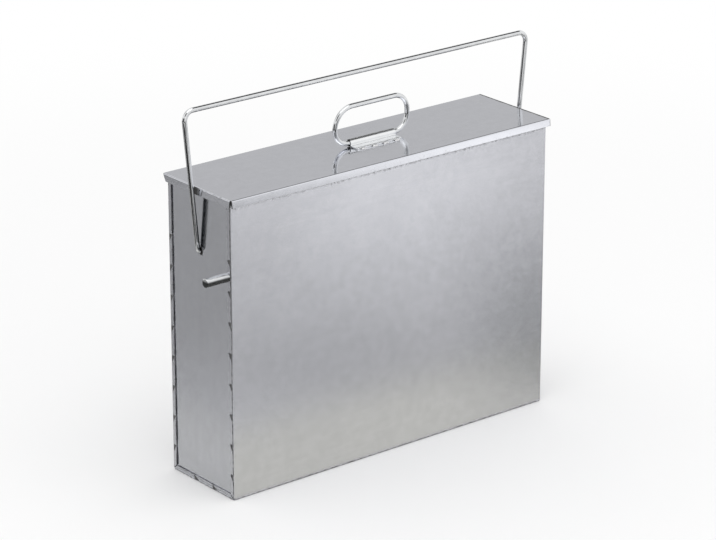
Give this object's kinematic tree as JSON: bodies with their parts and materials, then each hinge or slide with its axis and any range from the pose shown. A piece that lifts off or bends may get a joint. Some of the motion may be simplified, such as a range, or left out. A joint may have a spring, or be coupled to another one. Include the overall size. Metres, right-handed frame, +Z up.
{
  "type": "ash bucket",
  "caption": "Slim rectangular galvanised sheet ash bucket with a lift-off lid, a folding wire loop on the lid, a swinging wire carrying bail and a stop pin on one end.",
  "frame": {"origin": "centre of the body's base, on the surface it stands on", "axes": "+Z up, +X along the body's length towards the right end, -Y out of the large front panel"},
  "size_m": [0.444, 0.1104, 0.3895],
  "materials": {
    "galvanised_sheet": "satin galvanised sheet with a fine spangle",
    "galvanised_lid": "satin galvanised sheet, a little brighter on the lid",
    "bright_strip": "bright rolled strip",
    "weld_metal": "dull weld bead",
    "bright_wire": "bright zinc-plated drawn wire",
    "zinc_bar": "zinc-plated turned bar"
  },
  "bodies": {
    "bucket": {"body_wrapper": "galvanised_sheet", "left_end_panel": "galvanised_sheet", "right_end_panel": "galvanised_sheet", "stop_pin": "zinc_bar"},
    "lid_body": {"lid": "galvanised_lid", "lid_handle_clip": "bright_strip", "clip_weld_1": "weld_metal", "clip_weld_2": "weld_metal", "clip_weld_3": "weld_metal", "clip_weld_4": "weld_metal"},
    "loop": {"lid_handle_loop": "bright_wire"},
    "bail": {"carry_bail": "bright_wire"}
  },
  "joints": [
    {"name": "lid_lift", "type": "slide", "parent": "bucket", "child": "lid_body", "axis": [0, 0, 1], "range_m": [0, 0.028]},
    {"name": "loop_fold", "type": "hinge", "parent": "lid_body", "child": "loop", "pos_m": [0.015, 0.0035, 0.3139], "axis": [1, 0, 0], "range_deg": [-91, 91]},
    {"name": "bail_swing", "type": "hinge", "parent": "bucket", "child": "bail", "pos_m": [0, 0, 0.245], "axis": [1, 0, 0], "range_deg": [-158, 98]}
  ]
}
